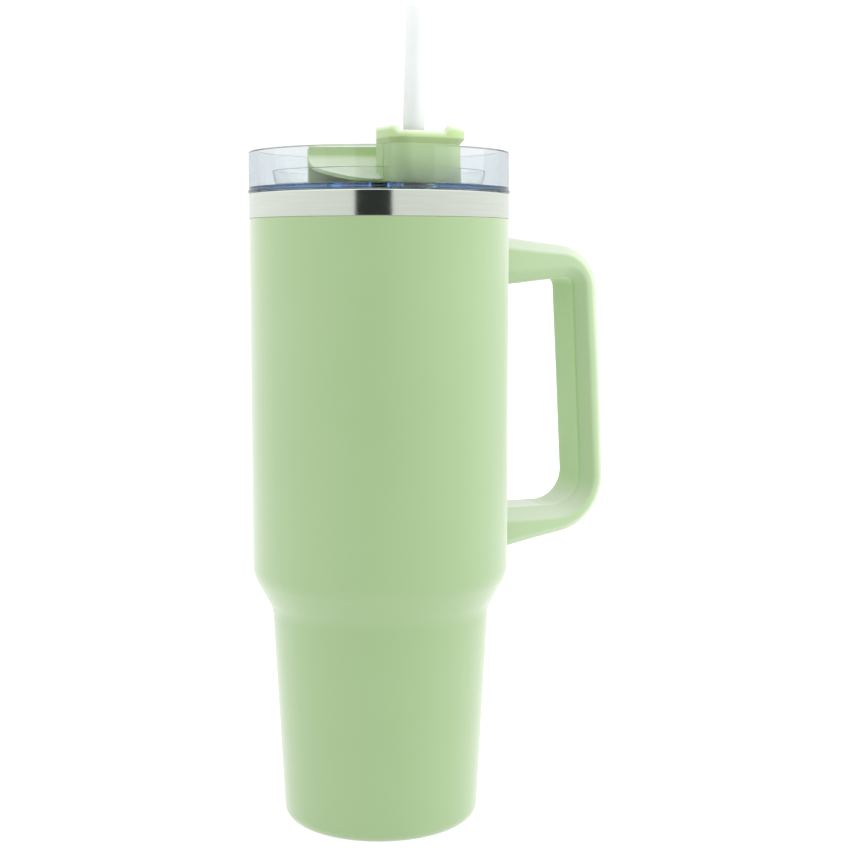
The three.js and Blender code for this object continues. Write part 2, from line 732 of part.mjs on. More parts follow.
/** Straw drawn about its own axis, with z = 0 at the middle of the port. */
function strawTube(portZ) {
  const low = (STRAW_BOTTOM - portZ) / Math.cos(STRAW_LEAN);
  const high = (STRAW_TOP - portZ) / Math.cos(STRAW_LEAN);
  return cut(
    rod(STRAW_RADIUS, low, high, 0, 0, 16),
    rod(STRAW_BORE, low - 1, high + 1, 0, 0, 16),
  );
}

// ---- Assembly ----

const travelMug = new THREE.Group();

travelMug.add(
  piece('outer_shell', outerShell(), 'coat'),
  piece('inner_liner', innerLiner(), 'steel'),
  piece('base_cap', baseCap(), 'rawSteel'),
  piece('outer_bottom', outerBottom(), 'rawSteel'),
  piece('vacuum_seal', vacuumSeal(), 'getter'),
  piece('getter', getter(), 'getter'),
  piece('upper_handle_bracket', handleBracket(UPPER_BRACKET), 'rawSteel'),
  piece('lower_handle_bracket', handleBracket(LOWER_BRACKET), 'rawSteel'),
  piece('handle_frame', handleFrame(), 'plastic'),
  piece('handle_grip', gripStrip(0, GRIP_DEPTH, GRIP_WIDTH, GRIP_START_X), 'grip'),
  piece('upper_handle_screw', screw(UPPER_BRACKET), 'rawSteel'),
  piece('lower_handle_screw', screw(LOWER_BRACKET), 'rawSteel'),
);

const lid = new THREE.Group();
lid.rotation.z = LID_TURN;
lid.add(
  piece('lid_body', lidBody(), 'clear'),
  piece('lid_gasket', lidGasket(), 'silicone'),
  piece('straw_grommet', strawGrommet(), 'silicone'),
  piece('pivot_pin', pivotPin(), 'plastic'),
  piece('pivot_clip', pivotClip(), 'rawSteel'),
  piece('rotating_cover', rotatingCover(), 'plastic'),
  piece('drink_seal', drinkSeal(), 'silicone'),
);
travelMug.add(lid);

const portZ = (LID_FLOOR_TOP + LID_FLOOR_BOTTOM) / 2;
const straw = piece('straw', strawTube(portZ), 'straw');
straw.position.set(
  PORT_RADIUS_FROM_AXIS * Math.sin(LID_TURN),
  -PORT_RADIUS_FROM_AXIS * Math.cos(LID_TURN),
  portZ,
);
straw.rotation.y = STRAW_LEAN;
travelMug.add(straw);

export default travelMug;
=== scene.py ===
"""Looks of the insulated travel mug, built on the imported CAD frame.

Shapes are drawn in millimetres and scaled to metres when a piece is placed. Lid pieces are
drawn square to the axes and turned with the lid. Angles called clock angles run clockwise
from the front (-Y), as seen from above.
"""

import math

import bmesh
import bpy
from mathutils import Matrix, Vector


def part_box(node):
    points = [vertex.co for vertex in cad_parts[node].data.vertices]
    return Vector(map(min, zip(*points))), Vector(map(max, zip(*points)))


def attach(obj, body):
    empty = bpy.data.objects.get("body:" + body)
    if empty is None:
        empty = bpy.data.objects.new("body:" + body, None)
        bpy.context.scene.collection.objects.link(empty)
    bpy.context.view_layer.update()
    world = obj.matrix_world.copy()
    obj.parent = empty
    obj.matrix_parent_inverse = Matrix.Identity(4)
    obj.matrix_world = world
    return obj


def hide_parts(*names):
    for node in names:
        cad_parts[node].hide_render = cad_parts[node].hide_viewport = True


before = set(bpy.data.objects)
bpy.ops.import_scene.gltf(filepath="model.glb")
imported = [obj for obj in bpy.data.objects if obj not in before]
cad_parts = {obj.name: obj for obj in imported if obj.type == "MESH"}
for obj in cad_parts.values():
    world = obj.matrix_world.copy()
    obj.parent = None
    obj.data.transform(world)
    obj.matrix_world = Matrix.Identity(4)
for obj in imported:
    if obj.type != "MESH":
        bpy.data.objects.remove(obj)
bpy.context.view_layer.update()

# ---- Driving dimensions, in millimetres ----

MM = 0.001


def box_mm(node):
    """Lowest and highest corner of a CAD node, in millimetres."""
    low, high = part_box(node)
    return low / MM, high / MM


SHELL_LOW, SHELL_HIGH = box_mm("outer_shell")
LINER_LOW, LINER_HIGH = box_mm("inner_liner")
_, CAP_HIGH = box_mm("base_cap")
LID_LOW, LID_HIGH = box_mm("lid_body")
COVER_LOW, _ = box_mm("rotating_cover")
STRAW_LOW, STRAW_HIGH = box_mm("straw")
GASKET_LOW, GASKET_HIGH = box_mm("lid_gasket")

CUP_RADIUS = SHELL_HIGH.x
COAT_TOP = SHELL_HIGH.z
RIM_TOP = LINER_HIGH.z
GAP = 0.3
SHELL_WALL = 1.2
SHOULDER_TOP = 96.3
SHOULDER_FOOT = 83
NECK_RADIUS = 41.7
BASE_RADIUS = 37.3
BASE_CORNER = 5
SHOULDER_FILLET = 12
FOOT_OPENING = CAP_HIGH.x + GAP
LINER_WALL = 0.8
LINER_MOUTH_RADIUS = 45.6
LINER_STEP = 3.6                 # how far the liner stands inside the shell's outside
LINER_SHOULDER_TOP = 99.5
LINER_SHOULDER_FOOT = 84.5
LINER_FLOOR_CORNER = 7
COLLAR_WALL = 0.8
COAT_SEAM = 0.05                 # the coat ends this far below the bare collar
DISC_RECESS = 0.45               # the disc's middle stands this far above its rim
DISC_RING = (9, 9.8, 10.6, 0.7)  # inner radius, crest radius, outer radius, crest height
DISC_RIM = (4, 3.2)              # how far inside the disc's edge its slope starts and ends

HANDLE_HALF_WIDTH = 14
HANDLE_ROOT_X = 47
HANDLE_BLEND_X = 60              # where the arms stop bending to the cup's wall
HANDLE_CLEARANCE = 0.06
HANDLE_OUTER = [(44, 224.9, 0), (85.4, 219.8, 17), (90.1, 112.9, 22), (44, 103.9, 0)]
HANDLE_INNER = [(44, 206, 0), (76.2, 209.4, 3.5), (80.7, 119.5, 12), (44, 119.5, 0)]
OUTER_CHAMFER = [4.3, 3.5, 2.6, 2.6, 3.0]    # along the path: root, corner, strap, heel, root
INNER_CHAMFER = [4.6, 4.0, 4.4, 4.6, 4.8]
CHAMFER_SOFTNESS = 0.9
HANDLE_COUNTS = [16, 14, 30, 18, 16]         # stations on each straight and arc
GRIP_COUNTS = [6, 14, 40, 18, 6]
GRIP_START_X = 65
GRIP_HALF_WIDTH = 9.5
GRIP_DEPTH = 1.8
GRIP_REACH = 1.5                 # how far the strip's cutter reaches past the window's face
GRIP_SEAM = 0.06
SCREW_X = 57.5
SCREW_HEAD_RADIUS = 3.6
SCREW_HEAD_HEIGHT = 1.9
SCREW_RADIUS = 2
RECESS_RADIUS = 1.2
RECESS_DEPTH = 1.1
BRACKET_HALF_WIDTH = 7
BRACKET_FLANGE = 1.3
BRACKET_START_X = 40
BRACKET_SEAT_X = 51
BRACKET_TIP_X = 63
UPPER_ARM = {"low": 211, "high": 219, "head": 207.6}       # bracket's heights, screw head's foot
LOWER_ARM = {"low": 110.2, "high": 116.6, "head": 107.1}

LID_TURN = math.radians(8)
LID_FLANGE_RADIUS = 49.35
LID_FLANGE_TOP = 241.6
LID_TOP = LID_HIGH.z
LID_FLOOR_TOP = 242.6
LID_FLOOR_BOTTOM = 240.8
FLOOR_RIB = (12, 13.2, 239.3)    # inner radius, outer radius, bottom of the rib under the lid's floor
RING_INNER = 45.9
TROUGH_OUTER = 45.6
BOWL_TOP = 248.6
BOWL_FOOT_RADIUS = 38.4
BOWL_RIM_RADIUS = 39.6
BOWL_WALL = 0.6
SKIRT_RADIUS = 45
SKIRT_INNER = 42
SKIRT_BOTTOM = LID_LOW.z
GROOVE_RADIUS = 43.6
GROOVE_LOW = GASKET_LOW.z - GAP
GROOVE_HIGH = GASKET_HIGH.z + GAP
GASKET_LIP = 45.25
GASKET_ROOT = 0.7                # thickness between the lips
GASKET_LIP_HEIGHT = 1.6
PORT_FROM_AXIS = 26.8
PORT_HOLE = 7
SLOT = (14.5, 22.5, 145, 195)    # inner radius, outer radius, clock angles

STRAW_RADIUS = 3.9
STRAW_BORE = 2.6
STRAW_LEAN = math.radians(1.66)
GROMMET_BORE = 4.4
GROMMET_FLANGE = 8.7
GROMMET_FLANGE_HEIGHT = 1.1

DRUM_RADIUS = 27
DRUM_TOP = 257.2
COVER_BOTTOM = COVER_LOW.z
COVER_WALL = 1.5
HUB_RADIUS = 5.8
RELIEF_RADIUS = 22.2
RELIEF = (-120, 10)              # clock angles between which the drum's right side is drawn in
SCOOP_HEADING = 28               # clock angle
SCOOP_WALL_T = 7
SCOOP_SIDE = 2.2
SCOOP_SHEET = 1.3
SCOOP_CURVE = [(7, 254.4), (8.5, 248.8), (19, 249.8), (27.6, 244.4)]
HOOD_LEFT = 10.6
HOOD_RIGHT = 17.8
HOOD_FRONT = 36.4
HOOD_LEFT_CORNER = 6
HOOD_RIGHT_CORNER = 8.5
HOOD_TOP = 261.9
HOOD_BACK = 19
HOOD_SIDE_STEPS = 12
HOOD_ARC_STEPS = 16
HOOD_FRONT_STEPS = 48
LIP_LOW = 259.4
LIP_FLARE_LOW = 257.3
LIP_OVERHANG = 1.1
LIP_FADE = 2.5                   # the lip grows from nothing over this length at its left back
LIP_RIGHTWARD = 0.8              # share by which it stands out more on the right than at the front
EAR_HEIGHT = 2
LEFT_EAR = (-8.9, -10.3)         # x where each ear starts to rise and where it is full
RIGHT_EAR = (7.8, 10.4)
STRAW_ROOM = 4.7
SEAL_PLATE_HEIGHT = 1.6
SEAL_THICKNESS = 1.1
SEAL_MARGIN = 1.4
SEAL_MARGIN_ANGLE = 6
PIN_RADIUS = 3
PIN_HEAD_RADIUS = 4.9
PIN_HEAD_HEIGHT = 1
PIN_END = 238.2
PIN_GROOVE_RADIUS = 2.3
PIN_GROOVE_LOW = 239.3
PIN_DIMPLE_RADIUS = 1.4
PIN_DIMPLE_DEPTH = 0.35
CLIP_RADIUS = 5.6
CLIP_HEIGHT = 0.9
CLIP_MOUTH = 2

# ---- Mesh helpers ----

ROUND_SIDES = 192
SMALL_SIDES = 64
ARC_STEP = math.pi / 24
OVERCUT = 2
CUT_EDGE_ANGLE = math.radians(40)            # sharper edges than this are softened
SHARP_ANGLE = math.radians(35)               # sharper edges than this aren't shaded smooth


def corner_arc(before, corner, after, radius, steps=0, inset=0):
    """Points round a corner's arc; an inset draws them that much further from its centre."""
    back = (before - corner).normalized()
    ahead = (after - corner).normalized()
    half = back.angle(ahead) / 2
    centre = corner + (back + ahead).normalized() * (radius / math.sin(half))
    foot = corner + back * (radius / math.tan(half))
    start = (foot - centre).normalized() * (radius + inset)
    turn = math.copysign(math.pi - 2 * half, ahead.cross(back))
    steps = steps or max(3, math.ceil(abs(turn) / ARC_STEP))
    return [centre + Matrix.Rotation(turn * k / steps, 2) @ start for k in range(steps + 1)]


def rounded(corners):
    """Points of a closed path whose corners are (u, v) or, where they are rounded, (u, v, radius)."""
    ends = [Vector(corner[:2]) for corner in corners]
    points = []
    for i, corner in enumerate(corners):
        if corner[2:] and corner[2] > 0:
            points += corner_arc(ends[i - 1], ends[i], ends[(i + 1) % len(ends)], corner[2])
        else:
            points.append(ends[i])
    return points


def skin(name, rings, loop=False):
    """Closed mesh through rings of points; a loop joins its last ring to its first."""
    mesh = bmesh.new()
    made = [[mesh.verts.new(point) for point in ring] for ring in rings]
    count = len(rings[0])
    for i in range(len(rings) if loop else len(rings) - 1):
        near, far = made[i], made[(i + 1) % len(rings)]
        for k in range(count):
            after = (k + 1) % count
            mesh.faces.new((near[k], near[after], far[after], far[k]))
    if not loop:
        mesh.faces.new(made[0])
        mesh.faces.new(made[-1])
    bmesh.ops.remove_doubles(mesh, verts=mesh.verts, dist=1e-4)
    bmesh.ops.recalc_face_normals(mesh, faces=mesh.faces)
    data = bpy.data.meshes.new(name)
    mesh.to_mesh(data)
    mesh.free()
    piece = bpy.data.objects.new(name, data)
    bpy.context.scene.collection.objects.link(piece)
    return piece


def lathe(name, corners, sides=ROUND_SIDES):
    """Solid of revolution of a closed (radius, z) outline."""
    profile = rounded(corners)
    angles = [2 * math.pi * i / sides for i in range(sides)]
    rings = [[(r * math.cos(a), r * math.sin(a), z) for r, z in profile] for a in angles]
    return skin(name, rings, loop=True)


def prism(name, outline, low, high):
    """Upright prism of a closed (x, y) outline."""
    return skin(name, [[(x, y, z) for x, y in outline] for z in (low, high)])


def rod(name, radius, low, high, x=0, y=0, sides=SMALL_SIDES):
    """Upright rod round an axis at (x, y)."""
    angles = [2 * math.pi * i / sides for i in range(sides)]
    return prism(name, [(x + radius * math.cos(a), y + radius * math.sin(a)) for a in angles], low, high)


def block(name, x, y, z):
    """Box between pairs of limits."""
    return prism(name, [(x[0], y[0]), (x[1], y[0]), (x[1], y[1]), (x[0], y[1])], *z)


def clock_point(radius, degrees):
    """Point (x, y) at a radius and a clock angle."""
    angle = math.radians(degrees)
    return Vector((-radius * math.sin(angle), -radius * math.cos(angle)))


def sector(name, inner, outer, start, end, low, high):
    """Ring sector between two radii and two clock angles."""
    steps = math.ceil(abs(end - start) / 3)
    angles = [start + (end - start) * i / steps for i in range(steps + 1)]
    rim = [clock_point(outer, angle) for angle in angles]
    bore = [clock_point(inner, angle) for angle in reversed(angles)] if inner else [Vector((0, 0))]
    return prism(name, rim + bore, low, high)


def flattened(piece):
    """Applies a piece's modifiers to its mesh."""
    depsgraph = bpy.context.evaluated_depsgraph_get()
    data = bpy.data.meshes.new_from_object(piece.evaluated_get(depsgraph))
    piece.modifiers.clear()
    piece.data = data
    return piece


def combine(piece, operation, *tools):
    """Joins, cuts or intersects a piece with tools, which are used up."""
    for tool in tools:
        step = piece.modifiers.new(operation, "BOOLEAN")
        step.operation = operation
        step.solver = "EXACT"
        step.object = tool
        flattened(piece)
        bpy.data.objects.remove(tool)
    return piece


def join(piece, *tools):
    return combine(piece, "UNION", *tools)


def cut(piece, *tools):
    return combine(piece, "DIFFERENCE", *tools)


def softened(piece, width):
    """Small rounds on the edges that a cut left sharp."""
    step = piece.modifiers.new("soften", "BEVEL")
    step.width = width
    step.segments = 2
    step.limit_method = "ANGLE"
    step.angle_limit = CUT_EDGE_ANGLE
    return flattened(piece)


def twin(piece, name):
    """Second copy of a piece."""
    copy = bpy.data.objects.new(name, piece.data.copy())
    bpy.context.scene.collection.objects.link(copy)
    return copy


def place(piece, body, material, node, turn=0):
    """Scales a finished piece to metres and hands it to the frame in place of a CAD node."""
    piece.data.transform(Matrix.Rotation(turn, 4, "Z") @ Matrix.Scale(MM, 4))
    piece.data.materials.clear()
    piece.data.materials.append(material)
    piece.data.shade_smooth()
    piece.data.set_sharp_from_angle(angle=SHARP_ANGLE)
    shade = piece.modifiers.new("shade", "WEIGHTED_NORMAL")
    shade.keep_sharp = True
    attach(piece, body)
    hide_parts(node)


# ---- Materials ----

# Painted highlight: the pale colour that faces looking up are mixed towards, standing in for overhead light
PAINTED_TOP_LIGHT_COLOUR = (0.72, 0.67, 0.72, 1)


def surface(name, colour, shade, roughness, tone_size, grain_size, relief, stretch=(1, 1, 1), **sockets):
    """Principled material whose colour, roughness and relief come from noise in the piece's own space.

    colour and shade are the two ends of its tone, roughness its two limits; sizes are in millimetres.
    """
    material = bpy.data.materials.new(name)
    material.use_nodes = True
    nodes, links = material.node_tree.nodes, material.node_tree.links
    shader = nodes["Principled BSDF"]
    where = nodes.new("ShaderNodeTexCoord")
    scale = nodes.new("ShaderNodeMapping")
    scale.inputs["Scale"].default_value = stretch
    links.new(where.outputs["Object"], scale.inputs["Vector"])

    def noise(size, detail):
        node = nodes.new("ShaderNodeTexNoise")
        node.inputs["Scale"].default_value = 1 / (size * MM)
        node.inputs["Detail"].default_value = detail
        links.new(scale.outputs["Vector"], node.inputs["Vector"])
        return node.outputs["Fac"]

    broad = noise(tone_size, 3)
    fine = noise(grain_size, 2)
    tone = nodes.new("ShaderNodeValToRGB")
    tone.color_ramp.elements[0].position = 0.3
    tone.color_ramp.elements[0].color = (*shade, 1)
    tone.color_ramp.elements[1].position = 0.7
    tone.color_ramp.elements[1].color = (*colour, 1)
    links.new(broad, tone.inputs["Fac"])
    links.new(tone.outputs["Color"], shader.inputs["Base Color"])
    gloss = nodes.new("ShaderNodeMapRange")
    gloss.inputs["From Min"].default_value = 0.3
    gloss.inputs["From Max"].default_value = 0.7
    gloss.inputs["To Min"].default_value = roughness[0]
    gloss.inputs["To Max"].default_value = roughness[1]
    links.new(noise(tone_size / 3, 4), gloss.inputs["Value"])
    links.new(gloss.outputs["Result"], shader.inputs["Roughness"])
    bump = nodes.new("ShaderNodeBump")
    bump.inputs["Distance"].default_value = relief * MM
    links.new(fine, bump.inputs["Height"])
    links.new(bump.outputs["Normal"], shader.inputs["Normal"])
    for socket, value in sockets.items():
        shader.inputs[socket.replace("_", " ")].default_value = value
    return material


def painted_top_light(material, share):
    """Paints a highlight on faces that look up: their colour goes paler by a share, standing in for light
    from overhead.
    """
    nodes, links = material.node_tree.nodes, material.node_tree.links
    base = nodes["Principled BSDF"].inputs["Base Color"]
    where = nodes.new("ShaderNodeTexCoord")
    axes = nodes.new("ShaderNodeSeparateXYZ")
    links.new(where.outputs["Normal"], axes.inputs["Vector"])
    upward = nodes.new("ShaderNodeMapRange")
    upward.inputs["From Min"].default_value = 0.1
    upward.inputs["From Max"].default_value = 0.8
    upward.inputs["To Max"].default_value = share
    links.new(axes.outputs["Z"], upward.inputs["Value"])
    mix = nodes.new("ShaderNodeMix")
    mix.data_type = "RGBA"
    mix.inputs["B"].default_value = PAINTED_TOP_LIGHT_COLOUR
    links.new(upward.outputs["Result"], mix.inputs["Factor"])
    links.new(base.links[0].from_socket, mix.inputs["A"])
    links.new(mix.outputs["Result"], base)


coat = surface(
    "powder_coat", (0.282, 0.404, 0.199), (0.271, 0.392, 0.188), (0.40, 0.47),
    tone_size=60, grain_size=0.55, relief=0.012, Sheen_Weight=0.85, Sheen_Roughness=0.45,
)
handle_plastic = surface(
    "handle_plastic", (0.355, 0.490, 0.265), (0.340, 0.475, 0.253), (0.42, 0.50),
    tone_size=45, grain_size=0.35, relief=0.008, Sheen_Weight=1, Sheen_Roughness=0.45, Specular_IOR_Level=1,
)
grip_rubber = surface(
    "grip_rubber", (0.390, 0.595, 0.250), (0.375, 0.578, 0.238), (0.50, 0.60),
    tone_size=30, grain_size=0.3, relief=0.014, Sheen_Weight=0.6, Sheen_Roughness=0.45,
)
cover_plastic = surface(
    "cover_plastic", (0.480, 0.650, 0.305), (0.467, 0.637, 0.293), (0.30, 0.38),
    tone_size=25, grain_size=0.4, relief=0.006, Sheen_Weight=0.4, Sheen_Roughness=0.45,
)
polished_steel = surface(
    "polished_steel", (0.84, 0.89, 0.80), (0.80, 0.85, 0.76), (0.08, 0.13),
    tone_size=20, grain_size=0.5, relief=0.002, stretch=(1, 1, 18), Metallic=1,
)
raw_steel = surface(
    "raw_steel", (0.60, 0.61, 0.60), (0.52, 0.53, 0.52), (0.32, 0.45),
    tone_size=8, grain_size=0.3, relief=0.006, Metallic=1,
)
seal_glass = surface(
    "seal_glass", (0.20, 0.20, 0.21), (0.16, 0.16, 0.17), (0.2, 0.35),
    tone_size=3, grain_size=0.5, relief=0.02,
)
getter_metal = surface(
    "getter_metal", (0.12, 0.12, 0.125), (0.08, 0.08, 0.085), (0.7, 0.85),
    tone_size=2, grain_size=0.3, relief=0.03, Metallic=0.3,
)
silicone = surface(
    "silicone", (0.80, 0.83, 0.80), (0.75, 0.78, 0.75), (0.45, 0.58),
    tone_size=10, grain_size=0.4, relief=0.006, Subsurface_Weight=0.15,
)
clear_plastic = surface(
    "clear_plastic", (0.985, 0.995, 0.980), (0.970, 0.985, 0.970), (0.015, 0.035),
    tone_size=25, grain_size=6, relief=0.01, Transmission_Weight=1, IOR=1.47,
)
straw_plastic = surface(
    "straw_plastic", (0.90, 0.93, 0.92), (0.88, 0.91, 0.90), (0.32, 0.42),
    tone_size=20, grain_size=1.5, relief=0.006, Transmission_Weight=0.3, IOR=1.49,
)

# Painted highlight from overhead on the faces of these plastics that look up
painted_top_light(handle_plastic, 0.36)
painted_top_light(grip_rubber, 0.45)
painted_top_light(cover_plastic, 0.45)

absorption = clear_plastic.node_tree.nodes.new("ShaderNodeVolumeAbsorption")
absorption.inputs["Color"].default_value = (0.13, 0.43, 0.71, 1)
absorption.inputs["Density"].default_value = 30
clear_plastic.node_tree.links.new(
    absorption.outputs["Volume"], clear_plastic.node_tree.nodes["Material Output"].inputs["Volume"]
)

# ---- Cup ----


def cup_shell():
    """Outer wall: straight upper part, shoulder, narrow lower part and turned-in bottom edge."""
    inner = CUP_RADIUS - SHELL_WALL
    return lathe("cup_shell", [
        (FOOT_OPENING, SHELL_LOW.z, 0.3),
        (BASE_RADIUS, SHELL_LOW.z, BASE_CORNER),
        (NECK_RADIUS, SHOULDER_FOOT, SHOULDER_FILLET),
        (CUP_RADIUS, SHOULDER_TOP, SHOULDER_FILLET),
        (CUP_RADIUS, COAT_TOP, 0.25),
        (inner, COAT_TOP, 0.25),
        (inner, SHOULDER_TOP + GAP, SHOULDER_FILLET + SHELL_WALL),
        (NECK_RADIUS - SHELL_WALL, SHOULDER_FOOT + GAP, SHOULDER_FILLET - SHELL_WALL),
        (BASE_RADIUS - SHELL_WALL, SHELL_WALL, BASE_CORNER - SHELL_WALL),
        (FOOT_OPENING, SHELL_WALL, 0.3),
    ])


def cup_liner():
    """Inner cup, folded outwards at its mouth into the bare collar."""
    outer_mouth = LINER_MOUTH_RADIUS + LINER_WALL
    floor_radius = BASE_RADIUS - LINER_STEP + LINER_WALL
    collar_inner = CUP_RADIUS - COLLAR_WALL
    collar_foot = COAT_TOP + COAT_SEAM
    return lathe("cup_liner", [
        (0, LINER_LOW.z),
        (floor_radius, LINER_LOW.z, LINER_FLOOR_CORNER),
        (NECK_RADIUS - LINER_STEP, LINER_SHOULDER_FOOT, SHOULDER_FILLET),
        (outer_mouth, LINER_SHOULDER_TOP, SHOULDER_FILLET),
        (outer_mouth, RIM_TOP - LINER_WALL),
        (collar_inner, RIM_TOP - LINER_WALL),
        (collar_inner, collar_foot, 0.2),
        (CUP_RADIUS, collar_foot, 0.2),
        (CUP_RADIUS, RIM_TOP, 0.4),
        (LINER_MOUTH_RADIUS, RIM_TOP, 1.2),
        (LINER_MOUTH_RADIUS, LINER_SHOULDER_TOP + GAP, SHOULDER_FILLET + LINER_WALL),
        (NECK_RADIUS - LINER_STEP - LINER_WALL, LINER_SHOULDER_FOOT + GAP, SHOULDER_FILLET - LINER_WALL),
        (floor_radius - LINER_WALL, LINER_LOW.z + LINER_WALL, LINER_FLOOR_CORNER - LINER_WALL),
        (0, LINER_LOW.z + LINER_WALL),
    ])


def base_disc():
    """Pressed disc with a raised rim and a shallow ring round its middle."""
    edge, top = CAP_HIGH.x, CAP_HIGH.z
    ring_inner, ring_crest, ring_outer, crest_height = DISC_RING
    slope_start, slope_end = DISC_RIM
    return lathe("base_disc", [
        (0, DISC_RECESS),
        (ring_inner, DISC_RECESS, 0.6),
        (ring_crest, crest_height, 0.6),
        (ring_outer, DISC_RECESS, 0.6),
        (edge - slope_start, DISC_RECESS, 1),
        (edge - slope_end, 0, 0.8),
        (edge, 0, 0.3),
        (edge, top, 0.2),
        (0, top),
    ])


place(cup_shell(), "mug", coat, "outer_shell")
place(cup_liner(), "mug", polished_steel, "inner_liner")
place(base_disc(), "mug", raw_steel, "base_cap")

# ---- Handle ----


def handle_line(corners, counts, inset=0):
    """Points along one side of the handle in (x, z), a set number on each straight and arc."""
    ends = [Vector(corner[:2]) for corner in corners]
    top, bottom = [
        corner_arc(ends[i - 1], ends[i], ends[i + 1], corners[i][2], counts[2 * i - 1], inset) for i in (1, 2)
    ]
    first = on_line_at_x(ends[0], ends[1], HANDLE_ROOT_X, top[0])
    last = on_line_at_x(ends[3], ends[2], HANDLE_ROOT_X, bottom[-1])
    return [
        *spaced(first, top[0], counts[0]), *top[:-1],
        *spaced(top[-1], bottom[0], counts[2]), *bottom[:-1],
        *spaced(bottom[-1], last, counts[4]), last,
    ]


def on_line_at_x(start, through, x, end):
    """Point at x on the line that runs parallel to start-through and ends at end."""
    slope = (through.y - start.y) / (through.x - start.x)
    return Vector((x, end.y + slope * (x - end.x)))


def spaced(start, end, count):
    return [start.lerp(end, i / count) for i in range(count)]


def along_path(values, index):
    """Value at a station, eased between five values set at the middle of each stretch."""
    edges = [0]
    for count in HANDLE_COUNTS:
        edges.append(edges[-1] + count)
    marks = [0, (edges[1] + edges[2]) / 2, (edges[2] + edges[3]) / 2, (edges[3] + edges[4]) / 2, edges[5]]
    for k in range(4):
        if index <= marks[k + 1]:
            t = (index - marks[k]) / (marks[k + 1] - marks[k])
            return values[k] + (values[k + 1] - values[k]) * t * t * (3 - 2 * t)
    return values[-1]


def softened_corners(corners, reach, steps=5):
    """Closed section whose corners are eased over a reach, always with the same number of points."""
    points = []
    for i, corner in enumerate(corners):
        back = (corners[i - 1] - corner).normalized() * reach
        ahead = (corners[(i + 1) % len(corners)] - corner).normalized() * reach
        for k in range(steps + 1):
            t = k / steps
            points.append(corner + back * (1 - t) ** 2 + ahead * t ** 2)
    return points


def to_cup_wall(x, y):
    """Bends the handle's root from a plane to the cup's round wall."""
    if x >= HANDLE_BLEND_X:
        return x
    wall = math.sqrt((CUP_RADIUS + HANDLE_CLEARANCE) ** 2 - y * y)
    return HANDLE_BLEND_X - (HANDLE_BLEND_X - x) * (HANDLE_BLEND_X - wall) / (HANDLE_BLEND_X - HANDLE_ROOT_X)


def handle_body():
    """D-handle swept from its upper root round the strap to its lower root."""
    outer = handle_line(HANDLE_OUTER, HANDLE_COUNTS)
    inner = handle_line(HANDLE_INNER, HANDLE_COUNTS)
    width = HANDLE_HALF_WIDTH
    rings = []
    for i, (far, near) in enumerate(zip(outer, inner)):
        depth = (near - far).length
        inward = (near - far) / depth
        a = along_path(OUTER_CHAMFER, i)
        b = along_path(INNER_CHAMFER, i)
        section = softened_corners([
            Vector((0, a - width)), Vector((a, -width)),
            Vector((depth - b, -width)), Vector((depth, b - width)),
            Vector((depth, width - b)), Vector((depth - b, width)),
            Vector((a, width)), Vector((0, width - a)),
        ], CHAMFER_SOFTNESS)
        ring = []
        for t, y in section:
            x, z = far + inward * t
            ring.append((to_cup_wall(x, y), y, z))
        rings.append(ring)
    return skin("handle_body", rings)


def grip_room(name, growth):
    """Strip round the finger side of the window, larger than the grip by growth."""
    start = GRIP_START_X - growth
    proud = handle_line(HANDLE_INNER, GRIP_COUNTS, -GRIP_REACH)
    buried = handle_line(HANDLE_INNER, GRIP_COUNTS, GRIP_DEPTH + growth)
    half = GRIP_HALF_WIDTH + growth
    rings = []
    for near, far in zip(proud, buried):
        x_near, x_far = max(near.x, start), max(far.x, start)
        rings.append([
            (x_near, -half, near.y), (x_near, half, near.y), (x_far, half, far.y), (x_far, -half, far.y),
        ])
    return skin(name, rings)


def screw_at(name, high, head_z):
    """Button-head screw driven upwards, with a hexagonal recess."""
    screw = lathe(name, [
        (0, head_z),
        (SCREW_HEAD_RADIUS, head_z, 0.9),
        (SCREW_HEAD_RADIUS, head_z + SCREW_HEAD_HEIGHT, 0.15),
        (SCREW_RADIUS, head_z + SCREW_HEAD_HEIGHT),
        (SCREW_RADIUS, high - OVERCUT, 0.4),
        (0, high - OVERCUT),
    ], SMALL_SIDES)
    cut(screw, rod("recess", RECESS_RADIUS, head_z - OVERCUT, head_z + RECESS_DEPTH, sides=6))
    screw.data.transform(Matrix.Translation((SCREW_X, 0, 0)))
    return screw


def screw_room(high, head_z):
    """Room for a screw's head, open from below, and for its shank."""
    neck = head_z + SCREW_HEAD_HEIGHT + GAP
    room = rod("head_room", SCREW_HEAD_RADIUS + GAP, head_z - 3 * OVERCUT, neck, SCREW_X)
    return join(room, rod("shank_room", SCREW_RADIUS + GAP, neck - OVERCUT / 2, high, SCREW_X))


def bracket_room(low, high):
    """Room for a bracket's tongue and for the wider seat that is welded to the cup."""
    low, high = low - GAP, high + GAP
    half = BRACKET_HALF_WIDTH + GAP
    foot = half + BRACKET_FLANGE
    tongue = block("tongue", (BRACKET_START_X, BRACKET_TIP_X + GAP), (-half, half), (low, high))
    seat_heights = (low - BRACKET_FLANGE, high + BRACKET_FLANGE)
    return join(tongue, block("seat", (BRACKET_START_X, BRACKET_SEAT_X), (-foot, foot), seat_heights))


handle = handle_body()
grip = combine(twin(handle, "handle_grip_strip"), "INTERSECT", grip_room("grip_room", 0))
cut(handle, grip_room("grip_seam", GRIP_SEAM))
for arm in (UPPER_ARM, LOWER_ARM):
    cut(handle, bracket_room(arm["low"], arm["high"]), screw_room(arm["high"], arm["head"]))
place(handle, "mug", handle_plastic, "handle_frame")
place(grip, "mug", grip_rubber, "handle_grip")
for name, arm in (("upper", UPPER_ARM), ("lower", LOWER_ARM)):
    screw = screw_at(name + "_screw", arm["high"], arm["head"])
    place(screw, "mug", raw_steel, name + "_handle_screw")

# ---- Lid ----


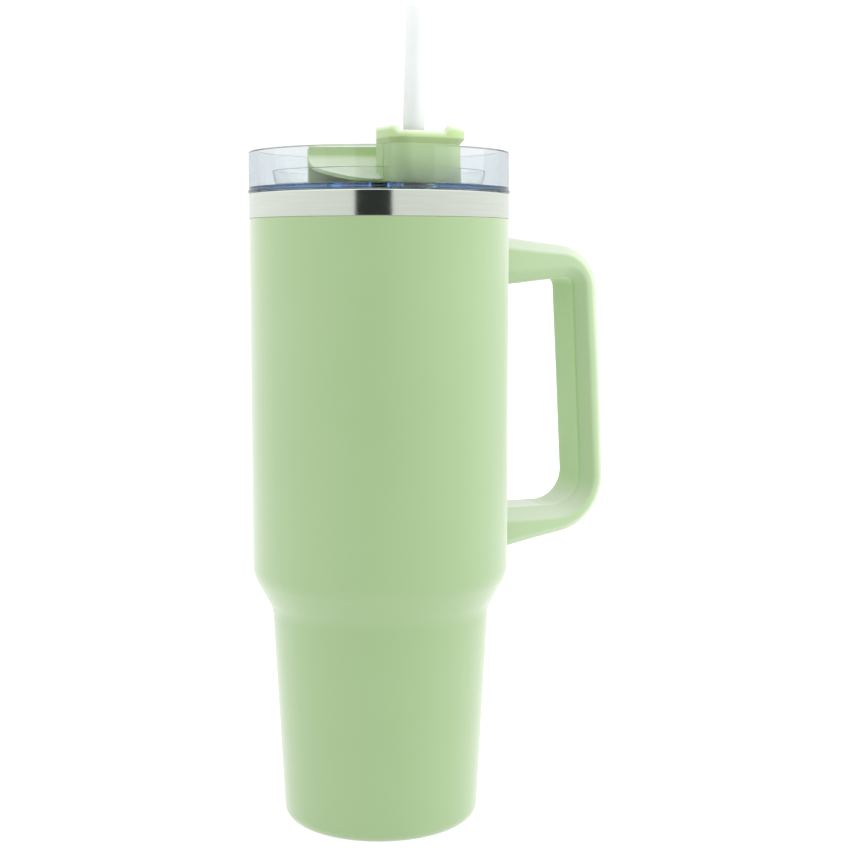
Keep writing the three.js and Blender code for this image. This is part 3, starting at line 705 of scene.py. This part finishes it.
def clear_lid():
    """Bowl, trough, ring, flange and plug skirt in one moulding, with the holes in its floor."""
    rib_inner, rib_outer, rib_bottom = FLOOR_RIB
    lid = lathe("clear_lid", [
        (0, LID_FLOOR_TOP),
        (BOWL_FOOT_RADIUS, LID_FLOOR_TOP, 0.8),
        (BOWL_RIM_RADIUS, BOWL_TOP, 0.25),
        (BOWL_RIM_RADIUS + BOWL_WALL, BOWL_TOP, 0.25),
        (BOWL_FOOT_RADIUS + BOWL_WALL, LID_FLOOR_TOP, 0.8),
        (TROUGH_OUTER, LID_FLOOR_TOP, 0.25),
        (RING_INNER, LID_TOP, 0.5),
        (CUP_RADIUS, LID_TOP, 0.4),
        (CUP_RADIUS, LID_FLANGE_TOP, 0.15),
        (LID_FLANGE_RADIUS, LID_FLANGE_TOP, 0.15),
        (LID_FLANGE_RADIUS, RIM_TOP + GAP, 0.3),
        (SKIRT_RADIUS, RIM_TOP + GAP, 0.3),
        (SKIRT_RADIUS, GROOVE_HIGH, 0.15),
        (GROOVE_RADIUS, GROOVE_HIGH, 0.2),
        (GROOVE_RADIUS, GROOVE_LOW, 0.2),
        (SKIRT_RADIUS, GROOVE_LOW, 0.15),
        (SKIRT_RADIUS, SKIRT_BOTTOM, 0.8),
        (SKIRT_INNER, SKIRT_BOTTOM, 0.5),
        (SKIRT_INNER, LID_FLOOR_BOTTOM, 0.8),
        (rib_outer, LID_FLOOR_BOTTOM, 0.3),
        (rib_outer, rib_bottom, 0.2),
        (rib_inner, rib_bottom, 0.2),
        (rib_inner, LID_FLOOR_BOTTOM, 0.3),
        (0, LID_FLOOR_BOTTOM),
    ])
    low, high = LID_FLOOR_BOTTOM - OVERCUT, LID_FLOOR_TOP + OVERCUT
    return cut(
        lid,
        sector("slot", *SLOT, low, high),
        rod("port", PORT_HOLE, low, high, 0, -PORT_FROM_AXIS),
        rod("bore", PIN_RADIUS + GAP, low, high),
    )


def gasket():
    """Ring with two lips."""
    root = GROOVE_RADIUS + GAP
    low, high = GROOVE_LOW + GAP, GROOVE_HIGH - GAP
    waist = root + GASKET_ROOT
    return lathe("seal_ring", [
        (root, low, 0.15),
        (waist + GAP, low, 0.15),
        (GASKET_LIP, low + GASKET_LIP_HEIGHT / 2, 0.12),
        (waist, low + GASKET_LIP_HEIGHT, 0.3),
        (waist, high - GASKET_LIP_HEIGHT, 0.3),
        (GASKET_LIP, high - GASKET_LIP_HEIGHT / 2, 0.12),
        (waist + GAP, high, 0.15),
        (root, high, 0.15),
    ])


def grommet():
    """Sleeve in the straw port, with a flange under the lid's floor."""
    shelf = LID_FLOOR_BOTTOM - GAP
    body = PORT_HOLE - GAP
    ring = lathe("port_sleeve", [
        (GROMMET_BORE, shelf - GROMMET_FLANGE_HEIGHT, 0.4),
        (GROMMET_FLANGE, shelf - GROMMET_FLANGE_HEIGHT, 0.4),
        (GROMMET_FLANGE, shelf, 0.2),
        (body, shelf),
        (body, LID_FLOOR_TOP, 0.3),
        (GROMMET_BORE, LID_FLOOR_TOP, 0.5),
    ], SMALL_SIDES)
    ring.data.transform(Matrix.Translation((0, -PORT_FROM_AXIS, 0)))
    return ring


def pin():
    """Pivot pin with a groove for the snap ring and a dimple in its head."""
    head_low = DRUM_TOP - GAP / 2 - PIN_HEAD_HEIGHT
    head_top = head_low + PIN_HEAD_HEIGHT
    groove_high = LID_FLOOR_BOTTOM - GAP / 2
    return lathe("hub_pin", [
        (0, PIN_END),
        (PIN_RADIUS, PIN_END, 0.5),
        (PIN_RADIUS, PIN_GROOVE_LOW),
        (PIN_GROOVE_RADIUS, PIN_GROOVE_LOW, 0.1),
        (PIN_GROOVE_RADIUS, groove_high, 0.1),
        (PIN_RADIUS, groove_high),
        (PIN_RADIUS, head_low),
        (PIN_HEAD_RADIUS, head_low, 0.1),
        (PIN_HEAD_RADIUS, head_top, 0.5),
        (PIN_DIMPLE_RADIUS, head_top, 0.3),
        (PIN_DIMPLE_RADIUS - 0.5, head_top - PIN_DIMPLE_DEPTH, 0.3),
        (0, head_top - PIN_DIMPLE_DEPTH),
    ], SMALL_SIDES)


def snap_ring():
    """Open ring that snaps into the pin's groove from the side."""
    low = PIN_GROOVE_LOW + GAP / 2
    inner, high = PIN_GROOVE_RADIUS + GAP, low + CLIP_HEIGHT
    ring = lathe("snap_ring", [
        (inner, low, 0.15),
        (CLIP_RADIUS, low, 0.15),
        (CLIP_RADIUS, high, 0.15),
        (inner, high, 0.15),
    ], SMALL_SIDES)
    mouth = block("mouth", (0, CLIP_RADIUS + OVERCUT), (-CLIP_MOUTH, CLIP_MOUTH), (low - 1, high + 1))
    return cut(ring, mouth)


place(clear_lid(), "lid", clear_plastic, "lid_body", turn=LID_TURN)
place(gasket(), "lid", silicone, "lid_gasket", turn=LID_TURN)
place(grommet(), "lid", silicone, "straw_grommet", turn=LID_TURN)

# ---- Rotating cover ----


def along_scoop(name, points, start, end):
    """Prism of an outline in (distance along the scoop's heading, height), run sideways."""
    heading = clock_point(1, SCOOP_HEADING)
    forward = Vector((heading.x, heading.y, 0))
    up = Vector((0, 0, 1))
    left = forward.cross(up)
    return skin(name, [[forward * t + up * z + left * side for t, z in points] for side in (start, end)])


def scoop_curve(drop, steps=28):
    """The scoop's surface: steep at its back wall, then an easy slope to the drum's edge."""
    a, b, c, d = [Vector((t, z - drop)) for t, z in SCOOP_CURVE]
    curve = []
    for k in range(steps + 1):
        s = k / steps
        r = 1 - s
        curve.append(a * r ** 3 + b * 3 * s * r * r + c * 3 * s * s * r + d * s ** 3)
    return curve


def scoop_above():
    """Room above the scoop's surface."""
    beyond, sky = DRUM_RADIUS + 10, DRUM_TOP + OVERCUT
    slope = scoop_curve(0)
    points = [(SCOOP_WALL_T, sky), *slope, (beyond, slope[-1].y), (beyond, sky)]
    return along_scoop("scoop_above", points, -SCOOP_SIDE, beyond)


def scoop_below():
    """Room under the scoop's sheet, open at the bottom and at the drum's edge."""
    beyond, ground = DRUM_RADIUS + 10, COVER_BOTTOM - OVERCUT
    near = SCOOP_WALL_T + GAP
    slope = [p for p in scoop_curve(SCOOP_SHEET) if p.y > COVER_BOTTOM and p.x > near]
    points = [(near, ground), (near, slope[0].y), *slope, (beyond, slope[-1].y), (beyond, ground)]
    return along_scoop("scoop_below", points, COVER_WALL - SCOOP_SIDE, beyond)


def drum(name, inset, low, high, edge=0):
    """Drum whose right side is drawn in to pass the straw."""
    radius = DRUM_RADIUS - inset
    full = lathe(name, [(0, low), (radius, low), (radius, high, edge), (0, high)])
    margin = math.degrees(inset / RELIEF_RADIUS)
    relief = sector(
        "relief", RELIEF_RADIUS - inset, DRUM_RADIUS + OVERCUT,
        RELIEF[0] - margin, RELIEF[1] + margin, low - 1, high + 1,
    )
    return cut(full, relief)


def hood_path():
    """Hood's outer face from its left back, round the front, to its right corner, with outward normals."""
    left, right, front = -HOOD_LEFT, HOOD_RIGHT, -HOOD_FRONT
    left_turn = Vector((left + HOOD_LEFT_CORNER, front + HOOD_LEFT_CORNER))
    right_turn = Vector((right - HOOD_RIGHT_CORNER, front + HOOD_RIGHT_CORNER))
    stations = []
    for k in range(HOOD_SIDE_STEPS):
        y = -HOOD_BACK + (left_turn.y + HOOD_BACK) * k / HOOD_SIDE_STEPS
        stations.append((Vector((left, y)), Vector((-1, 0))))
    for k in range(HOOD_ARC_STEPS + 1):
        normal = Matrix.Rotation(math.pi / 2 * k / HOOD_ARC_STEPS, 2) @ Vector((-1, 0))
        stations.append((left_turn + normal * HOOD_LEFT_CORNER, normal))
    for k in range(1, HOOD_FRONT_STEPS):
        x = left_turn.x + (right_turn.x - left_turn.x) * k / HOOD_FRONT_STEPS
        stations.append((Vector((x, front)), Vector((0, -1))))
    for k in range(HOOD_ARC_STEPS + 1):
        normal = Matrix.Rotation(math.pi / 2 * k / HOOD_ARC_STEPS, 2) @ Vector((0, -1))
        stations.append((right_turn + normal * HOOD_RIGHT_CORNER, normal))
    return stations


def ear_rise(x):
    """Height of the ears above the lip between them."""
    start, end = LEFT_EAR if x < 0 else RIGHT_EAR
    t = min(1, max(0, (x - start) / (end - start)))
    return EAR_HEIGHT * t * t * (3 - 2 * t)


def lip_share(point, normal):
    """Share of the lip's overhang at a point of the hood's path."""
    grown = min(1, max(0.05, (-HOOD_BACK - point.y) / LIP_FADE))
    return grown * (1 + LIP_RIGHTWARD * max(0, normal.x))


def hood_wall():
    """Upright wall that flares into the lip, with a rounded top edge."""
    rings = []
    for point, normal in hood_path():
        top = HOOD_TOP + ear_rise(point.x)
        section = rounded([
            (-COVER_WALL, COVER_BOTTOM),
            (0, COVER_BOTTOM),
            (0, LIP_FLARE_LOW, 0.9),
            (LIP_OVERHANG, LIP_LOW, 0.4),
            (LIP_OVERHANG, top, 2.1),
            (-COVER_WALL, top, 0.4),
        ])
        share = lip_share(point, normal)
        rings.append([(*(point + normal * (u * share if u > 0 else u)), z) for u, z in section])
    return skin("hood_wall", rings)


def hood_left_half(inset):
    """Outline of the hood's left half, drawn in by an inset."""
    left, front = inset - HOOD_LEFT, inset - HOOD_FRONT
    return rounded([(left, -HOOD_BACK), (left, front, HOOD_LEFT_CORNER - inset), (0, front), (0, -HOOD_BACK)])


def hood_floor():
    """Floor between the drum and the hood, left of the straw and a little inside the hood's face."""
    top = COVER_BOTTOM + SEAL_PLATE_HEIGHT
    floor = prism("hood_floor", hood_left_half(0.2), COVER_BOTTOM, top)
    return cut(floor, rod("straw_room", STRAW_ROOM, COVER_BOTTOM - 1, top + 1, 0, -PORT_FROM_AXIS))


def inside_hood():
    """Block just inside the hood's face, which keeps the scoop's cuts out of the hood."""
    return prism("inside_hood", hood_left_half(0.1), COVER_BOTTOM - OVERCUT - 1, HOOD_TOP)


def turning_cover():
    """Hollow drum with the scoop cut into it, joined to the hood and the plate over the seal."""
    below, plate_low = COVER_BOTTOM - OVERCUT, DRUM_TOP - COVER_WALL
    wall_t = SCOOP_WALL_T - COVER_WALL
    behind_scoop = along_scoop(
        "behind_scoop",
        [
            (wall_t, below - 1), (DRUM_RADIUS, below - 1),
            (DRUM_RADIUS, plate_low + 1), (wall_t, plate_low + 1),
        ],
        -SCOOP_SIDE - COVER_WALL, DRUM_RADIUS,
    )
    hollow = cut(
        drum("hollow", COVER_WALL, below, plate_low),
        rod("hub", HUB_RADIUS, below - 1, plate_low + 1),
        behind_scoop,
    )
    straw_room = join(
        rod("straw_room", STRAW_ROOM, below, HOOD_TOP, 0, -PORT_FROM_AXIS),
        sector("straw_side", RELIEF_RADIUS, HOOD_FRONT - COVER_WALL, RELIEF[0], 0, below, HOOD_TOP - 1),
    )
    above = cut(scoop_above(), inside_hood())
    under = cut(scoop_below(), inside_hood())
    cover = cut(drum("turning_cover", 0, COVER_BOTTOM, DRUM_TOP, 0.9), hollow, above, under, straw_room)
    seal_low = COVER_BOTTOM + SEAL_THICKNESS + GAP
    seal_plate = sector(
        "seal_plate", HUB_RADIUS - GAP, DRUM_RADIUS - GAP,
        SLOT[2] - SEAL_MARGIN_ANGLE, SLOT[3] + SEAL_MARGIN_ANGLE, seal_low, seal_low + SEAL_PLATE_HEIGHT,
    )
    join(cover, hood_wall(), hood_floor(), seal_plate)
    cut(
        cover,
        rod("bore", PIN_RADIUS + GAP, below, DRUM_TOP + 1),
        rod("head_room", PIN_HEAD_RADIUS + GAP, plate_low, DRUM_TOP + 1),
    )
    return softened(cover, 0.3)


def seal_pad():
    """Pad that covers the drink opening with a margin all round."""
    inner, outer, start, end = SLOT
    pad = sector(
        "seal_pad", inner - SEAL_MARGIN, outer + SEAL_MARGIN,
        start - SEAL_MARGIN_ANGLE, end + SEAL_MARGIN_ANGLE,
        COVER_BOTTOM, COVER_BOTTOM + SEAL_THICKNESS,
    )
    return softened(pad, 0.25)


place(turning_cover(), "cover", cover_plastic, "rotating_cover", turn=LID_TURN)
place(pin(), "lid", cover_plastic, "pivot_pin", turn=LID_TURN)
place(snap_ring(), "lid", raw_steel, "pivot_clip", turn=LID_TURN)
place(seal_pad(), "cover", silicone, "drink_seal", turn=LID_TURN)

# ---- Straw ----


def drinking_straw():
    """Straight tube with rounded ends, leaning to the right through the port."""
    port = Vector((PORT_FROM_AXIS * math.sin(LID_TURN), -PORT_FROM_AXIS * math.cos(LID_TURN), 0))
    port.z = (LID_FLOOR_TOP + LID_FLOOR_BOTTOM) / 2
    spread = STRAW_RADIUS * math.sin(STRAW_LEAN)
    low = (STRAW_LOW.z + spread - port.z) / math.cos(STRAW_LEAN)
    high = (STRAW_HIGH.z - spread - port.z) / math.cos(STRAW_LEAN)
    tube = lathe("drinking_straw", [
        (STRAW_BORE, low, 0.3),
        (STRAW_RADIUS, low, 0.3),
        (STRAW_RADIUS, high, 0.3),
        (STRAW_BORE, high, 0.3),
    ], SMALL_SIDES)
    tube.data.transform(Matrix.Translation(port) @ Matrix.Rotation(STRAW_LEAN, 4, "Y"))
    return tube


place(drinking_straw(), "straw", straw_plastic, "straw")

# ---- CAD nodes that stay as they are ----

for node, material in (
    ("upper_handle_bracket", raw_steel),
    ("lower_handle_bracket", raw_steel),
    ("outer_bottom", raw_steel),
    ("vacuum_seal", seal_glass),
    ("getter", getter_metal),
):
    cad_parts[node].material_slots[0].material = material

# ---- Studio ----

CAMERA_PLACE = Vector((-0.19117, -0.57585, 0.21575))
CAMERA_TILT = math.radians(84.07)
CAMERA_HEADING = math.radians(-20)
LENS = 67.26                     # on a sensor 36 mm wide
LAMP_AIM = Vector((0, 0, 0.17))
FLOOR_GLOW = 0.85
FLOOR_GLOW_REFLECTED = 0.15


def plain(name, colour):
    """Matt material for the studio."""
    material = bpy.data.materials.new(name)
    material.use_nodes = True
    shader = material.node_tree.nodes["Principled BSDF"]
    shader.inputs["Base Color"].default_value = (*colour, 1)
    shader.inputs["Roughness"].default_value = 1
    return material


def staged(name, corners, colour):
    """One flat face that belongs to the studio."""
    data = bpy.data.meshes.new(name)
    data.from_pydata(corners, [], [range(len(corners))])
    data.materials.append(plain(name, colour))
    sheet = bpy.data.objects.new(name, data)
    bpy.context.scene.collection.objects.link(sheet)
    return sheet


def studio_floor(radius=14, sides=96):
    """Floor lit from within, whose own light is dimmed in reflections and through clear plastic."""
    angles = [2 * math.pi * i / sides for i in range(sides)]
    corners = [(radius * math.cos(a), radius * math.sin(a), 0) for a in angles]
    floor = staged("studio_floor", corners, (0.4, 0.4, 0.4))
    nodes, links = floor.data.materials[0].node_tree.nodes, floor.data.materials[0].node_tree.links
    path = nodes.new("ShaderNodeLightPath")
    indirect = nodes.new("ShaderNodeMath")
    indirect.operation = "MAXIMUM"
    links.new(path.outputs["Is Glossy Ray"], indirect.inputs[0])
    links.new(path.outputs["Is Transmission Ray"], indirect.inputs[1])
    glow = nodes.new("ShaderNodeMapRange")
    glow.inputs["To Min"].default_value = FLOOR_GLOW
    glow.inputs["To Max"].default_value = FLOOR_GLOW_REFLECTED
    links.new(indirect.outputs["Value"], glow.inputs["Value"])
    shader = nodes["Principled BSDF"]
    shader.inputs["Emission Color"].default_value = (1, 1, 1, 1)
    links.new(glow.outputs["Result"], shader.inputs["Emission Strength"])


def dark_card(left, right, bottom, top):
    """Matt black card round the lens, seen only in reflections."""
    card = staged(
        "dark_card",
        [(left, 0, bottom), (right, 0, bottom), (right, 0, top), (left, 0, top)],
        (0.01, 0.012, 0.012),
    )
    card.location = (CAMERA_PLACE.x, CAMERA_PLACE.y, 0)
    card.rotation_euler = (0, 0, CAMERA_HEADING)
    card.visible_camera = False
    card.visible_diffuse = False


def soft_light(name, azimuth, elevation, distance, size, power):
    """Square lamp aimed at the mug's middle from an azimuth counted from the front towards the right."""
    a, e = math.radians(azimuth), math.radians(elevation)
    away = Vector((math.sin(a) * math.cos(e), -math.cos(a) * math.cos(e), math.sin(e)))
    data = bpy.data.lights.new(name, "AREA")
    data.size = size
    data.energy = power
    lamp = bpy.data.objects.new(name, data)
    lamp.location = LAMP_AIM + away * distance
    lamp.rotation_euler = (-away).to_track_quat("-Z", "Y").to_euler()
    lamp.visible_glossy = False
    bpy.context.scene.collection.objects.link(lamp)


def studio_world(middle, towards_back, towards_top, backdrop):
    """White tent, brighter behind the mug and overhead, with an even backdrop behind every view."""
    world = bpy.data.worlds.new("studio")
    world.use_nodes = True
    nodes, links = world.node_tree.nodes, world.node_tree.links
    background = nodes["Background"]
    background.inputs["Color"].default_value = (1, 1, 1, 1)
    where = nodes.new("ShaderNodeTexCoord")
    slope = nodes.new("ShaderNodeVectorMath")
    slope.operation = "DOT_PRODUCT"
    slope.inputs[1].default_value = (
        -math.sin(CAMERA_HEADING) * towards_back, math.cos(CAMERA_HEADING) * towards_back, towards_top
    )
    links.new(where.outputs["Generated"], slope.inputs[0])
    level = nodes.new("ShaderNodeMath")
    level.operation = "ADD"
    level.inputs[1].default_value = middle
    links.new(slope.outputs["Value"], level.inputs[0])
    path = nodes.new("ShaderNodeLightPath")
    seen = nodes.new("ShaderNodeMix")
    seen.inputs["B"].default_value = backdrop
    links.new(path.outputs["Is Camera Ray"], seen.inputs["Factor"])
    links.new(level.outputs["Value"], seen.inputs["A"])
    links.new(seen.outputs["Result"], background.inputs["Strength"])
    bpy.context.scene.world = world


studio_floor()
dark_card(left=-0.217, right=0.112, bottom=0.01, top=0.8)
studio_world(middle=0.80, towards_back=0.10, towards_top=0.80, backdrop=1.1)
soft_light("light_left", azimuth=-95, elevation=15, distance=1.1, size=1.2, power=3.2)
soft_light("light_right", azimuth=60, elevation=15, distance=1.1, size=1.2, power=7)

bpy.context.scene.view_settings.view_transform = "Standard"

lens = bpy.data.cameras.new("camera")
lens.sensor_width = 36
lens.lens = LENS
camera = bpy.data.objects.new("camera", lens)
camera.location = CAMERA_PLACE
camera.rotation_euler = (CAMERA_TILT, 0, CAMERA_HEADING)
bpy.context.scene.collection.objects.link(camera)
bpy.context.scene.camera = camera
